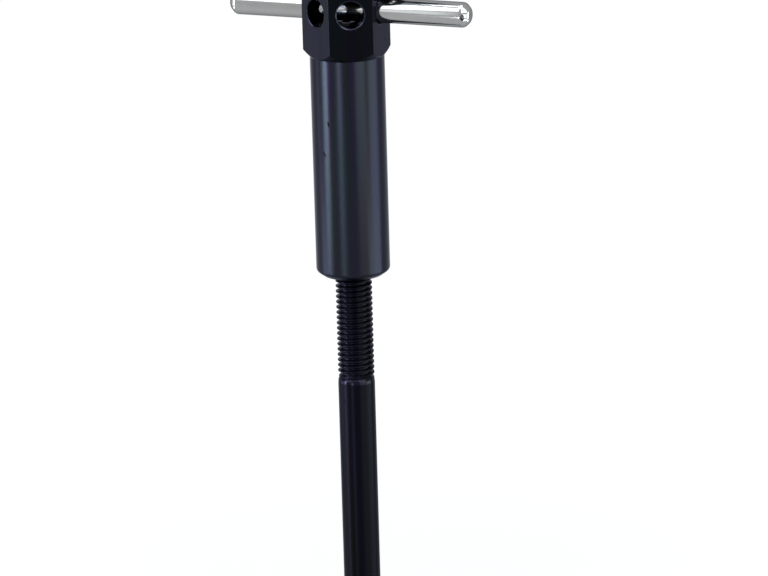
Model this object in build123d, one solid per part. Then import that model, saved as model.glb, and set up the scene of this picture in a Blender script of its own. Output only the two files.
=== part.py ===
from build123d import *
import math
import os

# A rim jack: a screw that stands between a wheel's hub and its rim and pushes a flat spot out.
# Millimetres and degrees. The origin is the centre of the hub's shell, under the saddle. Z runs up the
# rod to the rim, Y lies along the wheel's axle, and X runs along the rim.

# Wheel that the jack is made for
hub_shell_radius = 16.0
rim_section_radius = 14.0

# Clearances
running_gap = 0.05
assembly_gap = 0.1
free_gap = 0.3
overrun = 1.0

# Saddle on the hub, with its liner
liner_thickness = 3.0
liner_flange_width = 1.2
liner_flange_height = 2.2
saddle_wall = 5.0
saddle_width = 25.0
saddle_edge_radius = 1.0
boss_radius = 9.4
boss_height = 9.0
boss_neck_height = 5.5
boss_flare_width = 6.0
boss_flare_height = 11.0
boss_blend_radius = 4.0
boss_edge_chamfer = 0.8
rod_seat_depth = 12.0
liner_screw_angle = 52.0
liner_screw_radius = 1.5
liner_screw_head_radius = 2.8
liner_screw_head_depth = 1.7
liner_screw_sunk = 0.9
liner_screw_length = 5.4
screw_socket_radius = 1.1
screw_socket_depth = 1.0
pin_radius = 1.5
pin_bore_radius = 0.85
pin_slot_width = 0.6
pin_rise = 7.5

# Screw rod
rod_radius = 5.9
crest_radius = 5.85
thread_pitch = 1.75
rod_end_chamfer = 1.0
runout_width = 1.1
runout_depth = 0.45
shank_length = 71.4
thread_shown = 35.7
thread_engaged = 42.0

# Sleeve: barrel, hexagon head and spigot
barrel_radius = 11.75
barrel_length = 71.0
barrel_chamfer_width = 2.55
barrel_chamfer_height = 1.5
sleeve_mouth_chamfer = 0.9
hex_across_flats = 24.0
hex_height = 29.8
hex_chamfer_height = 2.4
head_turn = -60.0
cross_hole_radius = 4.35
cross_hole_chamfer = 0.3
cross_hole_count = 3
bore_end_gap = 2.0
vent_radius = 1.5
spigot_radius = 6.0
spigot_guide_length = 12.0
spigot_chamfer = 0.8
groove_rise = 7.0
groove_width = 3.4
groove_depth = 1.4

# Tommy bar
bar_radius = 4.0
bar_length = 81.0
bar_shift = 1.5
bar_end_chamfer = 1.9
bar_end_blend = 0.6

# Thrust ball bearing
bearing_radius = 13.0
bearing_height = 9.0
race_thickness = 2.9
race_edge_chamfer = 0.4
ball_radius = 2.38
ball_circle_radius = 9.5
ball_count = 10
race_groove_share = 1.04
cage_inner_radius = 6.9
cage_outer_radius = 12.1
cage_thickness = 1.6

# Rim shoe and its pad
shoe_rise = 35.0
cup_wall = 3.4
cup_roof = 3.2
cup_edge_chamfer = 0.8
neck_radius = 12.0
neck_top_rise = 13.0
neck_blend_radius = 3.0
spigot_end_gap = 0.6
table_length = 43.0
table_width = 24.0
table_height = 7.5
table_corner_radius = 3.0
table_edge_chamfer = 0.8
pocket_depth = 2.0
pocket_rim = 2.0
pad_thickness = 6.0
pad_flank_height = 3.1
pad_screw_spacing = 24.0
pad_screw_radius = 2.0
pad_screw_head_radius = 3.8
pad_screw_head_depth = 2.2
pad_screw_sunk = 1.2
pad_screw_length = 11.0
retainer_radius = 2.5
retainer_tip_radius = 1.45
retainer_tip_length = 1.9
retainer_sunk = 0.4

# Heights above the hub's axis, from the sizes above
liner_outer_radius = hub_shell_radius + liner_thickness
saddle_bore_radius = liner_outer_radius + running_gap
saddle_radius = saddle_bore_radius + saddle_wall
boss_top = saddle_radius + boss_height
rod_bottom = boss_top - rod_seat_depth
thread_start = boss_top + shank_length
sleeve_end = thread_start + thread_shown
rod_top = sleeve_end + thread_engaged
travel_down = thread_shown - thread_pitch
hex_bottom = sleeve_end + barrel_length
hex_top = hex_bottom + hex_height
hole_height = hex_bottom + hex_height / 2
sleeve_bore_top = rod_top + travel_down + bore_end_gap
bearing_top = hex_top + bearing_height
spigot_top = bearing_top + spigot_guide_length
rim_seat_height = bearing_top + shoe_rise
table_top = rim_seat_height - pad_thickness + pocket_depth


def disc(radius, bottom, top):
    """A plain cylinder about Z between two heights."""
    return Pos(0, 0, (bottom + top) / 2) * Cylinder(radius, top - bottom)


def ring(inner, outer, bottom, top):
    """A plain ring about Z between two heights."""
    return disc(outer, bottom, top) - disc(inner, bottom - overrun, top + overrun)


def turned(points):
    """A solid turned about Z from its half section, given as (radius, height) points."""
    return revolve(make_face(Plane.XZ * Polyline(*points, close=True)), Axis.Z)


def countersunk_screw(shank, head, head_depth, length):
    """A countersunk screw along -Z, with the top of its head at zero and a hexagon socket in it."""
    body = turned([(0, 0), (head, 0), (shank, -head_depth), (shank, -length), (0, -length)])
    return body - extrude(RegularPolygon(screw_socket_radius, 6), amount=-screw_socket_depth)


def screw_seat(shank, head, head_depth, length):
    """The hole that a countersunk screw along -Z drops into, open above its head."""
    wide = head + running_gap
    narrow = shank + running_gap
    end = -length - running_gap
    return turned([(0, length), (wide, length), (wide, 0), (narrow, -head_depth), (narrow, end), (0, end)])


def half_ring(inner, outer, width):
    """The upper half of a ring about Y, as the saddle and its liner are."""
    tube = Cylinder(outer, width) - Cylinder(inner, width + overrun)
    upper = Pos(0, 0, outer) * Box(outer * 2, width, outer * 2)
    return (Rot(X=90) * tube) & upper


def liner_screw_places():
    """The liner screws' places: on the liner's inside, with each axis pointing at the hub."""
    for side in (-1, 1):
        head = hub_shell_radius + liner_screw_sunk
        yield Rot(Y=side * liner_screw_angle) * Pos(0, 0, head) * Rot(X=180)


def pin_place():
    """The pin's axis: along Y, through the boss and the rod's foot."""
    return Pos(0, 0, rod_bottom + pin_rise) * Rot(X=90)


def liner_screw_seat():
    return screw_seat(liner_screw_radius, liner_screw_head_radius, liner_screw_head_depth, liner_screw_length)


def make_hub_saddle():
    arch = half_ring(saddle_bore_radius, saddle_radius, saddle_width)
    arch = fillet(arch.edges().filter_by(GeomType.CIRCLE).group_by(SortBy.LENGTH)[-1], saddle_edge_radius)
    flare_top = boss_top - boss_neck_height
    flare_bottom = flare_top - boss_flare_height
    flare_radius = boss_radius + boss_flare_width
    boss = turned([
        (0, boss_top), (boss_radius, boss_top), (boss_radius, flare_top), (flare_radius, flare_bottom),
        (0, flare_bottom),
    ])
    boss = fillet(boss.edges().filter_by_position(Axis.Z, flare_top, flare_top), boss_blend_radius)
    boss = chamfer(boss.edges().group_by(Axis.Z)[-1], boss_edge_chamfer)
    boss &= Box(flare_radius * 2, saddle_width, boss_top * 2)
    boss -= Rot(X=90) * Cylinder((saddle_bore_radius + saddle_radius) / 2, saddle_width + overrun)
    saddle = arch + boss
    seat_height = rod_seat_depth + overrun
    saddle -= disc(rod_radius + running_gap, rod_bottom, rod_bottom + seat_height)
    saddle -= pin_place() * Cylinder(pin_radius + running_gap, saddle_width)
    for place in liner_screw_places():
        saddle -= place * liner_screw_seat()
    return saddle


def make_saddle_liner():
    inside = saddle_width / 2 + running_gap
    band = half_ring(hub_shell_radius, liner_outer_radius, saddle_width + running_gap * 2)
    flange = half_ring(hub_shell_radius, liner_outer_radius + liner_flange_height, liner_flange_width)
    flange_place = inside + liner_flange_width / 2
    liner = band + Pos(Y=flange_place) * flange + Pos(Y=-flange_place) * flange
    for place in liner_screw_places():
        liner -= place * liner_screw_seat()
    return liner


def make_liner_screws():
    screw = countersunk_screw(
        liner_screw_radius, liner_screw_head_radius, liner_screw_head_depth, liner_screw_length
    )
    return Compound(children=[place * screw for place in liner_screw_places()])


def make_rod_pin():
    length = boss_radius * 2 - boss_edge_chamfer
    pin = Cylinder(pin_radius, length) - Cylinder(pin_bore_radius, length + overrun)
    pin -= Pos(X=pin_radius) * Box(pin_radius * 2, pin_slot_width, length + overrun)
    return pin_place() * pin


def make_spindle_rod():
    neck = rod_radius - runout_depth
    rod = turned([
        (0, rod_bottom), (rod_radius - rod_end_chamfer, rod_bottom),
        (rod_radius, rod_bottom + rod_end_chamfer),
        (rod_radius, thread_start - runout_depth), (neck, thread_start), (neck, thread_start + runout_width),
        (crest_radius, thread_start + runout_width + runout_depth), (crest_radius, rod_top - rod_end_chamfer),
        (crest_radius - rod_end_chamfer, rod_top), (0, rod_top),
    ])
    return rod - pin_place() * Cylinder(pin_radius + running_gap, saddle_width)


def make_jack_sleeve():
    corner_radius = hex_across_flats / 2 / math.cos(math.pi / 6)
    barrel_tip = barrel_radius - barrel_chamfer_width
    barrel = turned([
        (0, sleeve_end), (barrel_tip, sleeve_end), (barrel_radius, sleeve_end + barrel_chamfer_height),
        (barrel_radius, hex_bottom + hex_chamfer_height), (0, hex_bottom + hex_chamfer_height),
    ])
    flats = extrude(RegularPolygon(corner_radius, 6), amount=hex_height)
    turned_blank = turned([
        (0, hex_bottom), (barrel_radius, hex_bottom), (corner_radius, hex_bottom + hex_chamfer_height),
        (corner_radius, hex_top - hex_chamfer_height), (barrel_radius, hex_top), (0, hex_top),
    ])
    # A corner of the plain hexagon lies on X, so half a side's turn puts a flat square to the first hole
    head = (Pos(0, 0, hex_bottom) * Rot(Z=head_turn + 30) * flats) & turned_blank
    groove_middle = bearing_top + groove_rise
    groove_radius = spigot_radius - groove_depth
    spigot = turned([
        (0, hex_top - overrun), (spigot_radius, hex_top - overrun),
        (spigot_radius, groove_middle - groove_width / 2), (groove_radius, groove_middle - groove_width / 2),
        (groove_radius, groove_middle + groove_width / 2), (spigot_radius, groove_middle + groove_width / 2),
        (spigot_radius, spigot_top - spigot_chamfer), (spigot_radius - spigot_chamfer, spigot_top),
        (0, spigot_top),
    ])
    sleeve = barrel + head + spigot
    bore_radius = crest_radius + running_gap
    mouth_radius = bore_radius + sleeve_mouth_chamfer
    # The drill's point leaves a blunt cone at the end of the bore
    drill_point = bore_radius / 2
    sleeve -= turned([
        (0, sleeve_end - overrun), (mouth_radius + overrun, sleeve_end - overrun),
        (bore_radius, sleeve_end + sleeve_mouth_chamfer), (bore_radius, sleeve_bore_top - drill_point / 2),
        (drill_point, sleeve_bore_top), (0, sleeve_bore_top),
    ])
    # A vent joins the bore to the cross holes, and its drill runs a little into their roof
    vent_top = hole_height + cross_hole_radius + free_gap
    sleeve -= disc(vent_radius, sleeve_bore_top - drill_point, vent_top)
    flat = hex_across_flats / 2
    hole = Cylinder(cross_hole_radius, hex_across_flats + overrun)
    mouth = Pos(0, 0, flat - cross_hole_chamfer / 2) * Cone(
        cross_hole_radius, cross_hole_radius + cross_hole_chamfer, cross_hole_chamfer
    )
    for number in range(cross_hole_count):
        turn = head_turn + number * 180 / cross_hole_count
        place = Pos(0, 0, hole_height) * Rot(Z=turn) * Rot(Y=90)
        sleeve -= place * hole
        sleeve -= place * mouth
        sleeve -= place * Rot(X=180) * mouth
    return sleeve


def make_tommy_bar():
    bar = Cylinder(bar_radius, bar_length)
    bar = chamfer(bar.edges().filter_by(GeomType.CIRCLE), bar_end_chamfer)
    bar = fillet(bar.edges().filter_by(GeomType.CIRCLE).group_by(SortBy.RADIUS)[-1], bar_end_blend)
    return Pos(0, 0, hole_height) * Rot(Z=head_turn) * Pos(X=bar_shift) * Rot(Y=90) * bar


def make_race(bottom, top, bore, groove_at):
    race = ring(bore, bearing_radius, bottom, top)
    race = chamfer(race.edges().filter_by(GeomType.CIRCLE), race_edge_chamfer)
    ball_height = hex_top + bearing_height / 2
    groove_radius = ball_radius * race_groove_share
    # The groove's lowest point stays a running gap away from the balls
    shift = groove_radius - ball_radius - running_gap
    return race - Pos(0, 0, ball_height - shift * groove_at) * Torus(ball_circle_radius, groove_radius)


def make_lower_race():
    return make_race(hex_top, hex_top + race_thickness, spigot_radius + running_gap, -1)


def make_upper_race():
    return make_race(bearing_top - race_thickness, bearing_top, spigot_radius + assembly_gap, 1)


def ball_places():
    for number in range(ball_count):
        height = hex_top + bearing_height / 2
        yield Rot(Z=number * 360 / ball_count) * Pos(ball_circle_radius, 0, height)


def make_ball_cage():
    bottom = hex_top + (bearing_height - cage_thickness) / 2
    cage = ring(cage_inner_radius, cage_outer_radius, bottom, bottom + cage_thickness)
    for place in ball_places():
        cage -= place * Cylinder(ball_radius + running_gap, cage_thickness + overrun)
    return cage


def make_thrust_balls():
    return Compound(children=[place * Sphere(ball_radius) for place in ball_places()])


def rim_surface():
    """The rim's inner side: a rounded section carried round the wheel's axle."""
    around = rim_seat_height + rim_section_radius
    return Rot(X=90) * Torus(around, rim_section_radius)


def pad_screw_places():
    for side in (-1, 1):
        yield Pos(side * pad_screw_spacing / 2, 0, rim_seat_height - pad_screw_sunk)


def pad_screw_seat():
    return screw_seat(pad_screw_radius, pad_screw_head_radius, pad_screw_head_depth, pad_screw_length)


def make_rim_shoe():
    cup_radius = bearing_radius + running_gap + cup_wall
    cup_bottom = hex_top + free_gap * 2
    cup_top = bearing_top + cup_roof
    neck_top = bearing_top + neck_top_rise
    body = turned([
        (0, cup_bottom), (cup_radius, cup_bottom), (cup_radius, cup_top - cup_edge_chamfer),
        (cup_radius - cup_edge_chamfer, cup_top), (neck_radius, cup_top), (neck_radius, neck_top),
        (0, neck_top),
    ])
    inner_corner = body.edges().filter_by_position(Axis.Z, cup_top, cup_top).sort_by(SortBy.LENGTH)[0]
    body = fillet(inner_corner, neck_blend_radius)
    table_bottom = table_top - table_height
    outline = RectangleRounded(table_length, table_width, table_corner_radius)
    flare = loft([Pos(0, 0, neck_top) * Circle(neck_radius), Pos(0, 0, table_bottom) * outline])
    table = Pos(0, 0, table_bottom) * extrude(outline, amount=table_height)
    table = chamfer(table.edges().group_by(Axis.Z)[-1], table_edge_chamfer)
    flare += table
    shoe = body + flare
    shoe -= disc(bearing_radius + running_gap, cup_bottom - overrun, bearing_top)
    shoe -= disc(spigot_radius + running_gap, bearing_top - overrun, spigot_top + spigot_end_gap)
    pocket = extrude(
        RectangleRounded(
            table_length - pocket_rim * 2, table_width - pocket_rim * 2, table_corner_radius
        ),
        amount=pocket_depth + overrun,
    )
    shoe -= Pos(0, 0, table_top - pocket_depth) * pocket
    for place in pad_screw_places():
        shoe -= place * pad_screw_seat()
    retainer_hole = Cylinder(retainer_radius + running_gap, neck_radius)
    shoe -= retainer_place() * Pos(0, 0, neck_radius / 2) * retainer_hole
    return shoe


def make_rim_pad():
    length = table_length - (pocket_rim + running_gap) * 2
    width = table_width - (pocket_rim + running_gap) * 2
    bottom = rim_seat_height - pad_thickness
    height = pad_thickness + pad_flank_height
    pad = extrude(RectangleRounded(length, width, table_corner_radius), amount=height)
    pad = Pos(0, 0, bottom) * pad
    pad -= rim_surface()
    for place in pad_screw_places():
        pad -= place * pad_screw_seat()
    return pad


def make_pad_screws():
    screw = countersunk_screw(pad_screw_radius, pad_screw_head_radius, pad_screw_head_depth, pad_screw_length)
    return Compound(children=[place * screw for place in pad_screw_places()])


def retainer_place():
    """The retaining screw's axis: out of the shoe's neck along -Y, at the spigot's groove."""
    return Pos(0, 0, bearing_top + groove_rise) * Rot(X=90)


def make_retaining_screw():
    tip = spigot_radius - groove_depth + free_gap
    shoulder = tip + retainer_tip_length
    end = neck_radius - retainer_sunk
    screw = turned([
        (0, tip), (retainer_tip_radius, tip), (retainer_tip_radius, shoulder), (retainer_radius, shoulder),
        (retainer_radius, end), (0, end),
    ])
    socket = Pos(0, 0, end - screw_socket_depth) * extrude(
        RegularPolygon(screw_socket_radius, 6), amount=screw_socket_depth + overrun
    )
    return retainer_place() * (screw - socket)


nodes = {
    "hub_saddle": make_hub_saddle,
    "saddle_liner": make_saddle_liner,
    "liner_screws": make_liner_screws,
    "rod_pin": make_rod_pin,
    "spindle_rod": make_spindle_rod,
    "jack_sleeve": make_jack_sleeve,
    "tommy_bar": make_tommy_bar,
    "lower_race": make_lower_race,
    "ball_cage": make_ball_cage,
    "thrust_balls": make_thrust_balls,
    "upper_race": make_upper_race,
    "rim_shoe": make_rim_shoe,
    "retaining_screw": make_retaining_screw,
    "rim_pad": make_rim_pad,
    "pad_screws": make_pad_screws,
}

os.makedirs("parts", exist_ok=True)
for name, make in nodes.items():
    export_step(make(), f"parts/{name}.step")
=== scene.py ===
import math
import bpy
from mathutils import Matrix, Vector


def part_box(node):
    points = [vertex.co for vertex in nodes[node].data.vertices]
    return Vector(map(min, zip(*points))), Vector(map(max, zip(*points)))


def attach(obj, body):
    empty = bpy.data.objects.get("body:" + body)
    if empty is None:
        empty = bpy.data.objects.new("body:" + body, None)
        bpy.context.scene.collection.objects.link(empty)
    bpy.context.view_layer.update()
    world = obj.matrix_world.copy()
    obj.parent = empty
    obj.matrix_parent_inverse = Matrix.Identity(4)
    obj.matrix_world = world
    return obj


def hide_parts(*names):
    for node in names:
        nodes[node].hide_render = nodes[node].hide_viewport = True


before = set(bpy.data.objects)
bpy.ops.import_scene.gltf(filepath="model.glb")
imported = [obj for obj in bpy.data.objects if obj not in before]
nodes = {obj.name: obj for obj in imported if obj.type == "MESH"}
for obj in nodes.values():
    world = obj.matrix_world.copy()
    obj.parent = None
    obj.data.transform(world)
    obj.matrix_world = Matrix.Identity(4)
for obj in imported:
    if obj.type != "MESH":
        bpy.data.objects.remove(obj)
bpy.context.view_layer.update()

bpy.ops.object.select_all(action="DESELECT")

# Camera: a long lens a little above the head, 37 degrees left of straight in front. It stands as far off
# and as high above the cross holes as the slant and the spacing of the part's edges tell.
scene = bpy.context.scene
hole_height = (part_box("tommy_bar")[0].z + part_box("tommy_bar")[1].z) / 2
camera_azimuth = math.radians(36.6)
camera_distance = 1.2448
camera_rise = 0.2578
camera_yaw = 0.0077
camera_pitch = 0.2734
camera_roll = 0.0271
focal_pixels = 4056.8
picture_width = 768
sensor_width = 36.0
nearest_seen = 0.05
farthest_seen = 20
heading = camera_azimuth + camera_yaw
forward = Vector((
    math.sin(heading) * math.cos(camera_pitch),
    math.cos(heading) * math.cos(camera_pitch),
    -math.sin(camera_pitch),
))
roll = Matrix.Rotation(camera_roll, 3, forward)
level = forward.cross(Vector((0, 0, 1))).normalized()
right = roll @ level
upward = roll @ level.cross(forward)
lens = bpy.data.cameras.new("camera")
lens.sensor_width = sensor_width
lens.lens = focal_pixels / picture_width * sensor_width
lens.clip_start = nearest_seen
lens.clip_end = farthest_seen
camera = bpy.data.objects.new("camera", lens)
scene.collection.objects.link(camera)
camera_place = Matrix.Translation((
    -camera_distance * math.sin(camera_azimuth),
    -camera_distance * math.cos(camera_azimuth),
    hole_height + camera_rise,
))
camera.matrix_world = camera_place @ Matrix((right, upward, -forward)).transposed().to_4x4()
scene.camera = camera

# Studio: a pale sky and a pale floor that the lens and bright metal see as white, lit by a strip lamp at
# the left, which draws the bright line on the barrel, and by soft lamps in front, at both sides and above.
scene.view_settings.view_transform = "Standard"


class Signal:
    """One value in a tree of shader nodes, on which plain arithmetic can be written."""

    def __init__(self, recipe, socket):
        self.recipe = recipe
        self.socket = socket

    def joined(self, operation, first, second):
        """A Math node on two signals or numbers."""
        return self.recipe.add("ShaderNodeMath", {"operation": operation}, {0: first, 1: second})

    def __add__(self, other):
        return self.joined("ADD", self, other)

    def __sub__(self, other):
        return self.joined("SUBTRACT", self, other)

    def __rsub__(self, other):
        return self.joined("SUBTRACT", other, self)

    def __mul__(self, other):
        return self.joined("MULTIPLY", self, other)

    def __pow__(self, other):
        return self.joined("POWER", self, other)

    def __abs__(self):
        return self.joined("ABSOLUTE", self, 0)

    def at_least(self, other):
        """The larger of this signal and the other."""
        return self.joined("MAXIMUM", self, other)

    __radd__ = __add__
    __rmul__ = __mul__


class Recipe:
    """The shader nodes of the sky or of one material."""

    def __init__(self, tree):
        self.tree = tree

    def add(self, kind, settings, values, output=0):
        """One output of a new node, after its settings and the values or links of its sockets."""
        node = self.tree.nodes.new(kind)
        for name, value in settings.items():
            setattr(node, name, value)
        for name, value in values.items():
            self.feed(node.inputs[name], value)
        return Signal(self, node.outputs[output])

    def feed(self, socket, value):
        """Link a signal to the socket, or set a plain value on it."""
        if isinstance(value, Signal):
            self.tree.links.new(value.socket, socket)
        else:
            socket.default_value = value

    def place(self):
        """The place on the piece, in Object coordinates."""
        return self.add("ShaderNodeTexCoord", {}, {}, "Object")

    def between(self, value, low, high, least=0.0, most=1.0):
        """The least below low and the most above high, with a soft step between."""
        return self.add(
            "ShaderNodeMapRange", {"interpolation_type": "SMOOTHSTEP"},
            {"Value": value, "From Min": low, "From Max": high, "To Min": least, "To Max": most},
        )

    def seen_by_lens_and_metal(self):
        """1 for camera, glossy and transmission rays, and 0 for all others."""
        camera_ray, glossy_ray, clear_ray = (
            self.add("ShaderNodeLightPath", {}, {}, f"Is {kind} Ray")
            for kind in ("Camera", "Glossy", "Transmission")
        )
        return camera_ray.at_least(glossy_ray).at_least(clear_ray)


sky_colour = (1, 1, 1, 1)
sky_light = 0.55
seen_sky_light = 1.0
world = bpy.data.worlds.new("studio")
scene.world = world
world.use_nodes = True
world.node_tree.nodes.remove(world.node_tree.nodes["Background"])
sky = Recipe(world.node_tree)
dim_sky = sky.add("ShaderNodeBackground", {}, {"Color": sky_colour, "Strength": sky_light})
seen_sky = sky.add("ShaderNodeBackground", {}, {"Color": sky_colour, "Strength": seen_sky_light})
sky_mix = sky.add("ShaderNodeMixShader", {}, {0: sky.seen_by_lens_and_metal(), 1: dim_sky, 2: seen_sky})
sky.feed(world.node_tree.nodes["World Output"].inputs["Surface"], sky_mix)

floor_size = 6
floor_gap = 0.0005
floor_colour = (0.4, 0.4, 0.4, 1)
floor_glow = 1.1
# The floor's glow is weaker near the part's foot: a painted darkening of the floor around its base, where
# the shadow falls.
dim_radius = 0.06
white_radius = 0.34
least_glow_share = 0.42
most_glow_share = 0.88
bpy.ops.mesh.primitive_plane_add(size=floor_size, location=(0, 0, -floor_gap))
floor = bpy.context.object
floor.name = "floor"
pale_floor = bpy.data.materials.new("pale_floor")
pale_floor.use_nodes = True
pale_floor.node_tree.nodes.remove(pale_floor.node_tree.nodes["Principled BSDF"])
paper = Recipe(pale_floor.node_tree)
matte = paper.add("ShaderNodeBsdfDiffuse", {}, {"Color": floor_colour})
glow = paper.add("ShaderNodeEmission", {}, {"Strength": floor_glow})
off_centre = paper.add("ShaderNodeVectorMath", {"operation": "LENGTH"}, {0: paper.place()}, "Value")
glow_share = paper.between(off_centre, dim_radius, white_radius, least_glow_share, most_glow_share)
floor_mix = paper.add(
    "ShaderNodeMixShader", {}, {0: paper.seen_by_lens_and_metal() * glow_share, 1: matte, 2: glow}
)
paper.feed(pale_floor.node_tree.nodes["Material Output"].inputs["Surface"], floor_mix)
floor.data.materials.append(pale_floor)

lamp_colour = (0.94, 1.0, 1.0)


def soft_lamp(name, azimuth, distance, low, high, width, radiance, tilted=False):
    """A lamp whose azimuth is in degrees left of the camera. It stands a distance from the part's axis, from
    a low to a high point, upright or tilted at the head.
    """
    angle = math.radians(azimuth) + camera_azimuth
    lamp = bpy.data.lights.new(name, "AREA")
    lamp.shape = "RECTANGLE"
    lamp.size = width
    lamp.size_y = high - low
    lamp.energy = radiance * math.pi * width * (high - low)
    lamp.color = lamp_colour
    stand = bpy.data.objects.new(name, lamp)
    scene.collection.objects.link(stand)
    stand.location = (-math.sin(angle) * distance, -math.cos(angle) * distance, (low + high) / 2)
    drop = hole_height - stand.location.z if tilted else 0
    aim = Vector((-stand.location.x, -stand.location.y, drop))
    stand.rotation_euler = aim.to_track_quat("-Z", "Y").to_euler()


soft_lamp("strip_lamp", 73, 0.50, 0.03, 0.45, 0.10, 16)
soft_lamp("strip_lamp_core", 75, 0.48, 0.075, 0.30, 0.05, 28)
soft_lamp("left_lamp", 27.5, 0.60, 0.005, 0.10, 0.135, 20)
soft_lamp("left_near_lamp", 39.5, 0.24, 0.22, 0.33, 0.07, 1.2)
soft_lamp("front_right_lamp", -37, 0.60, 0.005, 0.30, 0.32, 4.4)
soft_lamp("right_lamp", -82, 0.55, 0.005, 0.32, 0.34, 5)
soft_lamp("left_back_lamp", 107, 0.55, 0.005, 0.30, 0.09, 3.2)
soft_lamp("low_right_lamp", -75, 0.30, 0.002, 0.044, 0.25, 14)
soft_lamp("low_left_lamp", 92, 0.30, 0.002, 0.06, 0.16, 9)
soft_lamp("high_right_lamp", -45, 0.50, 0.42, 0.80, 0.50, 6, tilted=True)
soft_lamp("high_lamp", 66, 0.50, 0.45, 0.99, 0.55, 3.9, tilted=True)
soft_lamp("top_lamp", -10, 0.12, 0.78, 1.22, 0.45, 12, tilted=True)

# Spindle rod: 11.8 mm steel bar with a coarse 12 mm thread cut on its upper part by a die, then blacked and
# oiled. The right-hand thread runs out in a shallow groove, above a taper that is turned at the edge of the
# plain shank. The taper's colour carries a painted highlight, and the thread's colour is painted lighter.
rod_low, rod_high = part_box("spindle_rod")
shank_radius = 0.0059
shank_end_chamfer = 0.001
shank_edge_height = 0.10435
shank_edge_slope = 0.125
pitch = 0.00175
crest_radius = 0.00585
crest_width = 0.00022
crest_corner_drop = 0.00005
crest_corner_inside = 0.00005
crest_corner_outside = 0.00004
root_radius = 0.00478
root_width = 0.00036
root_corner_rise = 0.00006
root_corner_width = 0.00008
thread_start = 0.1046
thread_phase = 0.00164
thread_end_gap = 0.0004
spare_turns = 2
runout_start = 0.10525
runout_length = 0.00125
taper_steep_start = 0.1060
taper_steep_slope = 0.45
taper_end = 0.10695
pin_hole_radius = 0.00155
pin_hole_length = 0.03
pin_hole_steps = 48
thread_steps = 72
round_steps = 128
rod_sharp_angle = 25
weld = 1e-6


def pick(piece):
    """Select the piece alone and make it active."""
    bpy.ops.object.select_all(action="DESELECT")
    piece.select_set(True)
    bpy.context.view_layer.objects.active = piece


def drawn_line(name, points):
    """A line of edges beside Z, drawn from its first (radius, height) point by extruding to each next."""
    bpy.ops.object.select_all(action="DESELECT")
    bpy.ops.mesh.primitive_plane_add(location=(0, 0, 0))
    line = bpy.context.object
    line.name = name
    bpy.ops.object.mode_set(mode="EDIT")
    bpy.ops.mesh.select_mode(type="VERT")
    bpy.ops.mesh.select_all(action="SELECT")
    bpy.ops.mesh.merge(type="CENTER")
    bpy.ops.transform.translate(value=(points[0][0], 0, points[0][1]))
    for start, end in zip(points, points[1:]):
        step = (end[0] - start[0], 0, end[1] - start[1])
        bpy.ops.mesh.extrude_region_move(TRANSFORM_OT_translate={"value": step})
    bpy.ops.object.mode_set(mode="OBJECT")
    return line


def spun(line, steps, turns=1, rise=0.0):
    """The line turned about Z into a surface, welded, with its faces pointing outwards."""
    bpy.context.view_layer.objects.active = line
    screw = line.modifiers.new("spin", "SCREW")
    screw.axis = "Z"
    screw.angle = math.tau
    screw.screw_offset = rise
    screw.iterations = turns
    screw.steps = screw.render_steps = steps
    screw.use_merge_vertices = rise == 0
    screw.merge_threshold = weld
    bpy.ops.object.modifier_apply(modifier="spin")
    bpy.ops.object.mode_set(mode="EDIT")
    bpy.ops.mesh.select_all(action="SELECT")
    bpy.ops.mesh.remove_doubles(threshold=weld)
    bpy.ops.mesh.normals_make_consistent(inside=False)
    bpy.ops.object.mode_set(mode="OBJECT")
    return line


def cut_by(piece, cutter, operation="DIFFERENCE"):
    """The piece after a cut by a second shape, which is used up."""
    pick(piece)
    cut = piece.modifiers.new("cut", "BOOLEAN")
    cut.operation = operation
    cut.solver = "EXACT"
    cut.object = cutter
    bpy.ops.object.modifier_apply(modifier="cut")
    bpy.data.objects.remove(cutter)


def shaded(piece, angle):
    """Smooth shading, with every edge that turns by more than the angle left sharp."""
    pick(piece)
    bpy.ops.object.shade_smooth_by_angle(angle=math.radians(angle))


crest_low = (pitch - crest_width) / 2
rising_flank = [
    (root_radius, 0),
    (root_radius, root_width / 2),
    (root_radius + root_corner_rise, root_width / 2 + root_corner_width),
    (crest_radius - crest_corner_drop, crest_low - crest_corner_outside),
    (crest_radius, crest_low + crest_corner_inside),
]
falling_flank = [(radius, pitch - height) for radius, height in reversed(rising_flank)]
thread_turns = math.ceil((rod_high.z - thread_start) / pitch) + spare_turns
thread = spun(drawn_line("thread", rising_flank + falling_flank), thread_steps, thread_turns, pitch)
thread.location.z = thread_start - thread_phase
pick(thread)
bpy.ops.object.transform_apply(location=True)
bpy.ops.object.mode_set(mode="EDIT")
for height, way in ((thread_start, -1), (rod_high.z - thread_end_gap, 1)):
    bpy.ops.mesh.select_all(action="SELECT")
    bpy.ops.mesh.bisect(plane_co=(0, 0, height), plane_no=(0, 0, way), use_fill=True, clear_outer=True)
bpy.ops.mesh.select_all(action="SELECT")
bpy.ops.mesh.normals_make_consistent(inside=False)
bpy.ops.object.mode_set(mode="OBJECT")

# The thread deepens from nothing along its runout, and the taper trims the crests beside the shank.
for vertex in thread.data.vertices:
    radius = vertex.co.xy.length
    cut_share = max(vertex.co.z - runout_start, 0) / runout_length
    runout_radius = crest_radius + (root_radius - crest_radius) * cut_share
    if 0 < radius < runout_radius:
        vertex.co.xy *= runout_radius / radius
    taper_radius = shank_radius - (vertex.co.z - shank_edge_height) * shank_edge_slope
    taper_radius -= max(vertex.co.z - taper_steep_start, 0) * (taper_steep_slope - shank_edge_slope)
    if vertex.co.z < taper_end and vertex.co.xy.length > taper_radius:
        vertex.co.xy *= taper_radius / vertex.co.xy.length

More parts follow.
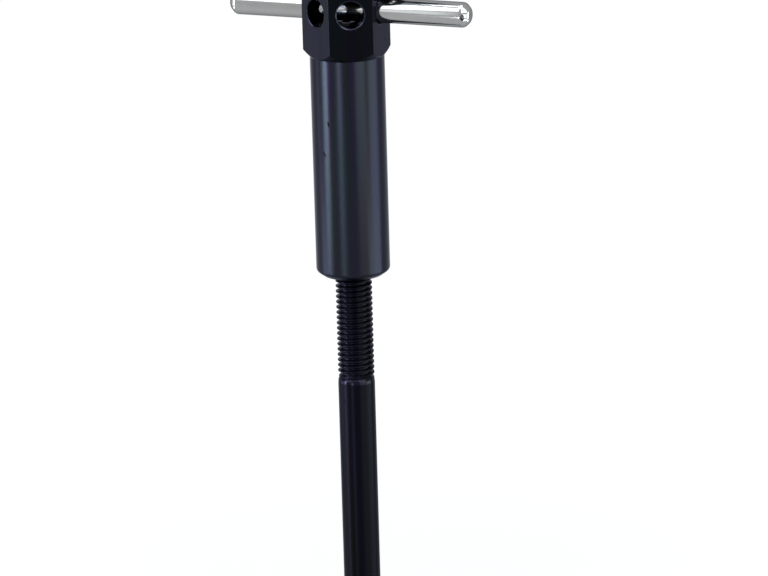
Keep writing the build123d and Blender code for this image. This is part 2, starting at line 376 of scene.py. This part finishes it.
shank_top = shank_edge_height + (shank_radius - crest_radius) / shank_edge_slope
rod = spun(drawn_line("threaded_rod", [
    (0, rod_low.z),
    (shank_radius - shank_end_chamfer, rod_low.z),
    (shank_radius, rod_low.z + shank_end_chamfer),
    (shank_radius, shank_edge_height),
    (crest_radius, shank_top),
    (0, shank_top),
]), round_steps)
pin_low, pin_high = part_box("rod_pin")
bpy.ops.object.select_all(action="DESELECT")
bpy.ops.mesh.primitive_cylinder_add(
    vertices=pin_hole_steps, radius=pin_hole_radius, depth=pin_hole_length,
    location=(pin_low + pin_high) / 2, rotation=(math.pi / 2, 0, 0),
)
cut_by(rod, bpy.context.object)
pick(rod)
thread.select_set(True)
bpy.ops.object.join()
shaded(rod, rod_sharp_angle)


class Finish(Recipe):
    """A material, built on one shader from the nodes that are added to it."""

    def __init__(self, name, **uniform):
        self.material = bpy.data.materials.new(name)
        self.material.use_nodes = True
        super().__init__(self.material.node_tree)
        self.shader = self.tree.nodes["Principled BSDF"]
        self.paint(**uniform)

    def paint(self, **parts):
        """Values or links for the shader's sockets, whose names have _ for each space."""
        for socket, value in parts.items():
            self.feed(self.shader.inputs[socket.replace("_", " ")], value)

    def axes(self):
        """The place on the piece as its three coordinates."""
        split = self.add("ShaderNodeSeparateXYZ", {}, {"Vector": self.place()})
        return [Signal(self, socket) for socket in split.socket.node.outputs]

    def noise(self, scale, detail=3.0, stretch=(1, 1, 1), turn=(0, 0, 0)):
        """Cloudy noise from 0 to 1. The stretch multiplies its scale along each axis."""
        spot = self.add(
            "ShaderNodeMapping", {}, {"Vector": self.place(), "Scale": stretch, "Rotation": turn}
        )
        return self.add("ShaderNodeTexNoise", {}, {"Vector": spot, "Scale": scale, "Detail": detail})

    def blend(self, factor, first, second):
        """The first colour at 0 and the second at 1. Either may be a blend itself."""
        first, second = (part if isinstance(part, Signal) else (*part, 1) for part in (first, second))
        return self.add("ShaderNodeMix", {"data_type": "RGBA"}, {0: factor, 6: first, 7: second}, 2)

    def relief(self, height, depth):
        """Surface relief from a height of 0 to 1, as deep as depth in metres."""
        return self.add("ShaderNodeBump", {}, {"Height": height, "Distance": depth, "Strength": 1.0})

    def on(self, *pieces):
        """The finish on each of the pieces, in place of what they had."""
        for piece in pieces:
            piece.data.materials.clear()
            piece.data.materials.append(self.material)


oxide_tint = (0.63, 0.64, 0.70, 1)
violet_oxide = (0.0130, 0.0116, 0.0230)
grey_oxide = (0.0122, 0.0127, 0.0162)
teal_oxide = (0.0108, 0.0142, 0.0190)
streak_scale = 260
streak_stretch = (1, 1, 0.04)
teal_streak_turn = math.radians(54.5)
teal_streak_low = 0.38
teal_streak_high = 0.62
grey_streak_turn = math.radians(153.5)
grey_streak_low = 0.47
grey_streak_high = 0.56
streak_roughness = 0.05
speckle_scale = 2600
speckle_roughness = 0.06
mark_share = 0.7
fine_mark_depth = 0.0000025
oxide_detail = 2.0


def blacked(
    name, roughness, mark_stretch, spread=0.0, spread_turn=0.0, lightness=1.0, teal_share=1.0,
    mark_depth=fine_mark_depth, region=None,
):
    """Oiled black oxide on steel, with tool marks and long streaks of violet, grey and teal. A region is a
    function that gives the shade and the polish of each place on the piece.
    """
    finish = Finish(
        name, Metallic=1.0, Specular_Tint=oxide_tint, Anisotropic=spread, Anisotropic_Rotation=spread_turn
    )
    teal_noise = finish.noise(streak_scale, oxide_detail, streak_stretch, (0, 0, teal_streak_turn))
    grey_noise = finish.noise(streak_scale, oxide_detail, streak_stretch, (0, 0, grey_streak_turn))
    teals = finish.between(teal_noise, teal_streak_low, teal_streak_high)
    greys = finish.between(grey_noise, grey_streak_low, grey_streak_high)
    marks = finish.noise(1.0, oxide_detail, mark_stretch)
    speckle = finish.noise(speckle_scale, oxide_detail)
    violet, grey, teal = (
        tuple(lightness * part for part in oxide) for oxide in (violet_oxide, grey_oxide, teal_oxide)
    )
    colour = finish.blend(teal_share * teals, finish.blend(greys, violet, grey), teal)
    polish = 0
    if region:
        shade, polish = region(finish)
        colour = finish.add("ShaderNodeVectorMath", {"operation": "SCALE"}, {0: colour, "Scale": shade})
    finish.paint(
        Base_Color=colour,
        Roughness=roughness + streak_roughness * teals + speckle_roughness * speckle - polish,
        Normal=finish.relief(marks * mark_share + speckle * (1 - mark_share), mark_depth),
    )
    return finish


# Painted light on the rod: the taper's colour is brightened as a painted highlight, and the thread's colour
# is lightened.
taper_painted_highlight = 1.2
taper_polish = 0.16
thread_painted_light = 0.55
edge_blend = 0.0001
taper_blend = 0.0004


def painted_taper_and_thread_light(finish):
    """Shade and polish: a painted highlight on the smoother taper at the shank's edge, and painted
    lightening of the thread.
    """
    rise = finish.axes()[2]
    above_shank = finish.between(rise, shank_edge_height - edge_blend, shank_edge_height + edge_blend)
    below_thread = finish.between(rise, taper_steep_start, taper_steep_start - taper_blend)
    on_taper = above_shank * below_thread
    return 1 + on_taper * taper_painted_highlight + (1 - below_thread) * thread_painted_light, on_taper * taper_polish


rod_black = blacked(
    "rod_black_oxide", roughness=0.34, mark_stretch=(30, 30, 5000), spread=0.85, spread_turn=0.25,
    lightness=0.31, teal_share=0.1, region=painted_taper_and_thread_light,
)
rod_black.on(rod)
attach(rod, "spindle")
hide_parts("spindle_rod")

# Rod pin: split tube of spring steel, rolled, hardened and blacked. It is driven through the saddle's boss
# and the rod, so that the rod can't turn.
pin_black = blacked("pin_black_oxide", roughness=0.32, mark_stretch=(4000, 60, 60))
pin_black.on(nodes["rod_pin"])

# Hub saddle: half-round steel foot, forged with the boss that the rod stands in, then machined inside and
# blacked. Its outer faces keep the forging's rough skin.
saddle_black = blacked(
    "saddle_black_oxide", roughness=0.36, mark_stretch=(700, 700, 700), mark_depth=0.00018
)
saddle_black.on(nodes["hub_saddle"])

# Saddle liner and rim pad: moulded from black nylon with a slight grain, so that they don't mark what they
# rest on. Each is held by two countersunk screws.
nylon_dark = (0.011, 0.0115, 0.012)
nylon_light = (0.017, 0.017, 0.0175)
nylon_roughness = 0.46
nylon_grain_roughness = 0.12
nylon_grain_depth = 0.00002
nylon = Finish("black_nylon", Metallic=0.0, Specular_IOR_Level=0.16)
nylon_grain = nylon.noise(scale=1800)
nylon.paint(
    Base_Color=nylon.blend(nylon.noise(scale=60), nylon_dark, nylon_light),
    Roughness=nylon_roughness + nylon_grain_roughness * nylon_grain,
    Normal=nylon.relief(nylon_grain, nylon_grain_depth),
)
nylon.on(nodes["saddle_liner"], nodes["rim_pad"])

# Liner screws, pad screws and retaining screw: stock steel screws with hexagon sockets, blacked. Four are
# countersunk and hold the nylon, and the fifth has a dog point that rides in the spigot's groove.
screw_black = blacked("screw_black_oxide", roughness=0.30, mark_stretch=(900, 900, 900))
screw_black.on(nodes["liner_screws"], nodes["pad_screws"], nodes["retaining_screw"])

# Jack sleeve: turned from one bar of steel, with the nut thread inside, a milled hexagon head with three
# cross holes, and a spigot on top for the bearing and the shoe. Blacked and oiled after machining.
sleeve_low, sleeve_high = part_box("jack_sleeve")
head_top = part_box("lower_race")[0].z
spigot_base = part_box("upper_race")[1].z
barrel_radius = 0.01175
barrel_tip_radius = 0.0097
barrel_tip_chamfer = 0.0015
barrel_tip_blend = 0.0007
barrel_tip_steps = 6
head_height = 0.0298
head_half_flats = 0.012
head_corner_radius = head_half_flats / math.cos(math.pi / 6)
head_chamfer = 0.0024
head_corner_break = 0.00005
head_corner_steps = 2
head_turn = math.radians(-60)
head_bottom = head_top - head_height
flats_length = 0.3
cross_hole_radius = 0.00435
cross_hole_chamfer = 0.00025
cross_hole_steps = 96
cross_hole_turns = [head_turn + number * math.pi / 3 for number in range(3)]
mouth_width = 0.00034
drill_reach = 0.0145
bore_radius = 0.0059
bore_top = 0.21805
bore_mouth_radius = 0.0068
bore_mouth_height = 0.0009
vent_radius = 0.0015
vent_edge_drop = 0.0005
vent_overrun = 0.0003
spigot_radius = 0.006
spigot_chamfer = 0.0008
groove_radius = 0.0046
groove_rise = 0.007
groove_half_width = 0.0017
nick_half_height = 0.0012
nick_shares = (0.32, 0.5, 1)
nick_lean = 0.5
nick_stand_off = 0.00022
nick_places = ((math.radians(-159.0), 0.1910), (math.radians(-169.5), 0.1812))
ball_steps = 4
sleeve_sharp_angle = 16


def bevelled(piece, width, steps, chosen):
    """The piece with a bevel along each edge that is chosen by its two ends."""
    pick(piece)
    bpy.ops.object.mode_set(mode="EDIT")
    bpy.ops.mesh.select_mode(type="EDGE")
    bpy.ops.mesh.select_all(action="DESELECT")
    bpy.ops.object.mode_set(mode="OBJECT")
    for edge in piece.data.edges:
        edge.select = chosen(*(piece.data.vertices[number].co for number in edge.vertices))
    bpy.ops.object.mode_set(mode="EDIT")
    bpy.ops.mesh.bevel(offset=width, segments=steps, affect="EDGES")
    bpy.ops.object.mode_set(mode="OBJECT")


def dented(piece, radius, shares, place, turn=(0, 0, 0)):
    """The piece after a cut by a ball that is stretched by its shares, turned and set at its place."""
    bpy.ops.object.select_all(action="DESELECT")
    bpy.ops.mesh.primitive_ico_sphere_add(subdivisions=ball_steps, radius=radius, location=(0, 0, 0))
    ball = bpy.context.object
    ball.scale = shares
    ball.rotation_euler = turn
    ball.location = place
    cut_by(piece, ball)


def on_tip_ring(*ends):
    """Whether an edge is on the barrel's outer ring, where the tip's chamfer starts."""
    ring_height = sleeve_low.z + barrel_tip_chamfer
    return all(abs(end.z - ring_height) < weld and end.xy.length > barrel_tip_radius for end in ends)


vent_top = hole_height + cross_hole_radius + vent_overrun
groove_low = spigot_base + groove_rise - groove_half_width
groove_high = spigot_base + groove_rise + groove_half_width
sleeve = spun(drawn_line("jack_sleeve_black", [
    (0, vent_top),
    (vent_radius, vent_top),
    (vent_radius, bore_top - vent_edge_drop),
    (bore_radius / 2, bore_top),
    (bore_radius, bore_top - bore_radius / 4),
    (bore_radius, sleeve_low.z + bore_mouth_height),
    (bore_mouth_radius, sleeve_low.z),
    (barrel_tip_radius, sleeve_low.z),
    (barrel_radius, sleeve_low.z + barrel_tip_chamfer),
    (barrel_radius, head_bottom),
    (head_corner_radius, head_bottom + head_chamfer),
    (head_corner_radius, head_top - head_chamfer),
    (barrel_radius, head_top),
    (spigot_radius, head_top),
    (spigot_radius, groove_low),
    (groove_radius, groove_low),
    (groove_radius, groove_high),
    (spigot_radius, groove_high),
    (spigot_radius, sleeve_high.z - spigot_chamfer),
    (spigot_radius - spigot_chamfer, sleeve_high.z),
    (0, sleeve_high.z),
]), round_steps)
bevelled(sleeve, barrel_tip_blend, barrel_tip_steps, on_tip_ring)

bpy.ops.object.select_all(action="DESELECT")
bpy.ops.mesh.primitive_cylinder_add(
    vertices=6, radius=head_corner_radius, depth=flats_length,
    location=(0, 0, hole_height), rotation=(0, 0, head_turn),
)
flats = bpy.context.object
bevelled(flats, head_corner_break, head_corner_steps, lambda start, end: abs(start.z - end.z) > weld)
cut_by(sleeve, flats, "INTERSECT")

hole_side = head_half_flats - cross_hole_chamfer
flare = cross_hole_radius + (drill_reach - hole_side) * mouth_width / cross_hole_chamfer
for hole_turn in cross_hole_turns:
    drill = spun(drawn_line("drill", [
        (0, -drill_reach),
        (flare, -drill_reach),
        (cross_hole_radius, -hole_side),
        (cross_hole_radius, hole_side),
        (flare, drill_reach),
        (0, drill_reach),
    ]), cross_hole_steps)
    drill.rotation_euler = (0, math.pi / 2, hole_turn)
    drill.location.z = hole_height
    cut_by(sleeve, drill)

nick_axis = barrel_radius + nick_stand_off
for angle, height in nick_places:
    nick_place = (nick_axis * math.cos(angle), nick_axis * math.sin(angle), height)
    dented(sleeve, nick_half_height, nick_shares, nick_place, (nick_lean, 0, angle))
shaded(sleeve, sleeve_sharp_angle)

head_share = 0.38
head_polish = 0.13
head_blend = 0.00002
# Painted light on the sleeve: a painted highlight on the holes' mouths, and painted shade in the holes and
# nicks.
mouth_painted_highlight = 1.6
hole_painted_shade = 0.12
cut_skin = 0.00001
cut_blend = 0.00004
nick_share = 0.45
nick_skin = 0.00002
nick_blend = 0.00006


def machined_with_painted_light(finish):
    """Shade: 1 on the turned barrel, less on the head's flats, a painted highlight on the holes' mouths, and
    painted
    shade in holes and nicks. Polish: the milled head is smoother than the barrel.
    """
    across, along, rise = finish.axes()
    off_axis = (across * across + along * along) ** 0.5
    depths = [abs(across * math.cos(turn) + along * math.sin(turn)) for turn in cross_hole_turns]
    depth = depths[0].at_least(depths[1]).at_least(depths[2])
    on_head = finish.between(rise, head_bottom - head_blend, head_bottom + head_blend)
    mouth_low = hole_height - cross_hole_radius - cross_hole_chamfer
    by_holes = finish.between(rise, hole_height - flare, mouth_low)
    in_mouth = by_holes * finish.between(depth, head_half_flats - cut_skin, head_half_flats - cut_blend)
    in_hole = by_holes * finish.between(depth, hole_side, hole_side - cut_blend)
    tip_top = sleeve_low.z + barrel_tip_chamfer
    above_tip = finish.between(rise, tip_top + barrel_tip_chamfer, tip_top + 2 * barrel_tip_chamfer)
    in_nick = above_tip * finish.between(off_axis, barrel_radius - nick_skin, barrel_radius - nick_blend)
    head = head_share + in_mouth * (mouth_painted_highlight - head_share) - in_hole * (mouth_painted_highlight - hole_painted_shade)
    barrel = 1 - in_nick * (1 - nick_share)
    return barrel + on_head * (head - barrel), on_head * head_polish


sleeve_black = blacked(
    "sleeve_black_oxide", roughness=0.27, mark_stretch=(25, 25, 4000), spread=0.6, spread_turn=0.25,
    region=machined_with_painted_light,
)
sleeve_black.on(sleeve)
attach(sleeve, "sleeve")
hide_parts("jack_sleeve")

# Tommy bar: bright drawn 8 mm steel with rounded ends. A punch mark near each end spreads the metal, so
# that the bar can't fall out of the head.
bar_radius = 0.004
bar_length = 0.081
bar_shift = 0.0015
bar_steps = 96
bar_end_chamfer = 0.0019
bar_end_blend = 0.0008
bar_end_steps = 5
bar_sharp_angle = 30
punch_radius = 0.0012
punch_shares = (0.5, 1.2, 0.85)
punch_inset = 0.0015
punch_depth = 0.0003
punch_drop = 0.0002
bpy.ops.object.select_all(action="DESELECT")
bpy.ops.mesh.primitive_cylinder_add(
    vertices=bar_steps, radius=bar_radius, depth=bar_length,
    location=(bar_shift, 0, 0), rotation=(0, math.pi / 2, 0),
)
bar = bpy.context.object
bar.name = "tommy_bar_bright"
bevelled(bar, bar_end_chamfer, steps=1, chosen=lambda start, end: abs(start.z - end.z) < weld)
bevel = bar.modifiers.new("blend", "BEVEL")
bevel.width = bar_end_blend
bevel.segments = bar_end_steps
bevel.limit_method = "ANGLE"
bevel.angle_limit = math.radians(bar_sharp_angle)
bpy.ops.object.modifier_apply(modifier="blend")
bpy.ops.object.transform_apply(location=True, rotation=True)
for end, side in ((1, -1), (-1, 1)):
    mark_along = bar_shift + end * (bar_length / 2 - punch_inset)
    mark_across = side * (bar_radius - punch_depth)
    dented(bar, punch_radius, punch_shares, (mark_along, mark_across, -punch_drop))
bar.rotation_euler = (0, 0, head_turn)
bar.location = (0, 0, hole_height)
pick(bar)
bpy.ops.object.transform_apply(location=True, rotation=True)
shaded(bar, bar_sharp_angle)

bar_tint = (0.4, 0.42, 0.43, 1)
bar_dark = (0.27, 0.275, 0.28)
bar_light = (0.315, 0.315, 0.315)
bar_roughness = 0.09
bar_line_roughness = 0.04
bar_cloud_roughness = 0.03
bar_line_stretch = (50, 1800, 1800)
bar_line_depth = 0.0000015
bar_bright = Finish("bright_drawn_steel", Metallic=1.0, Specular_Tint=bar_tint)
bar_lines = bar_bright.noise(scale=1.0, stretch=bar_line_stretch, turn=(0, 0, -head_turn))
bar_clouds = bar_bright.noise(scale=220)
bar_bright.paint(
    Base_Color=bar_bright.blend(bar_clouds, bar_dark, bar_light),
    Roughness=bar_roughness + bar_line_roughness * bar_lines + bar_cloud_roughness * bar_clouds,
    Normal=bar_bright.relief(bar_lines, bar_line_depth),
)
bar_bright.on(bar)
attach(bar, "bar")
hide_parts("tommy_bar")

# Thrust bearing: two hardened and ground steel races with ten balls between them, in a cage of drilled
# brass. It lies between the head and the shoe, and lets the head turn under load.
race_dark = (0.50, 0.50, 0.51)
race_light = (0.60, 0.60, 0.60)
race_roughness = 0.16
race_line_roughness = 0.12
race_line_depth = 0.000003
race_steel = Finish("ground_bearing_steel", Metallic=1.0)
race_lines = race_steel.noise(scale=1.0, detail=2.0, stretch=(60, 60, 5000))
race_steel.paint(
    Base_Color=race_steel.blend(race_steel.noise(scale=150), race_dark, race_light),
    Roughness=race_roughness + race_line_roughness * race_lines,
    Normal=race_steel.relief(race_lines, race_line_depth),
)
race_steel.on(nodes["lower_race"], nodes["upper_race"], nodes["thrust_balls"])

brass_bright = (0.62, 0.42, 0.16)
brass_tarnished = (0.42, 0.27, 0.10)
brass_roughness = 0.28
tarnish_roughness = 0.2
brass_grain_depth = 0.00001
cage_brass = Finish("cage_brass", Metallic=1.0)
tarnish = cage_brass.between(cage_brass.noise(scale=260), low=0.4, high=0.75)
cage_brass.paint(
    Base_Color=cage_brass.blend(tarnish, brass_bright, brass_tarnished),
    Roughness=brass_roughness + tarnish_roughness * tarnish,
    Normal=cage_brass.relief(cage_brass.noise(scale=1500), brass_grain_depth),
)
cage_brass.on(nodes["ball_cage"])

# Rim shoe: steel cup with a table, turned and milled from one bar and blacked. It turns freely on the
# spigot, where the retaining screw keeps it, and carries the nylon pad.
shoe_black = blacked("shoe_black_oxide", roughness=0.30, mark_stretch=(25, 25, 3000), mark_depth=0.000008)
shoe_black.on(nodes["rim_shoe"])
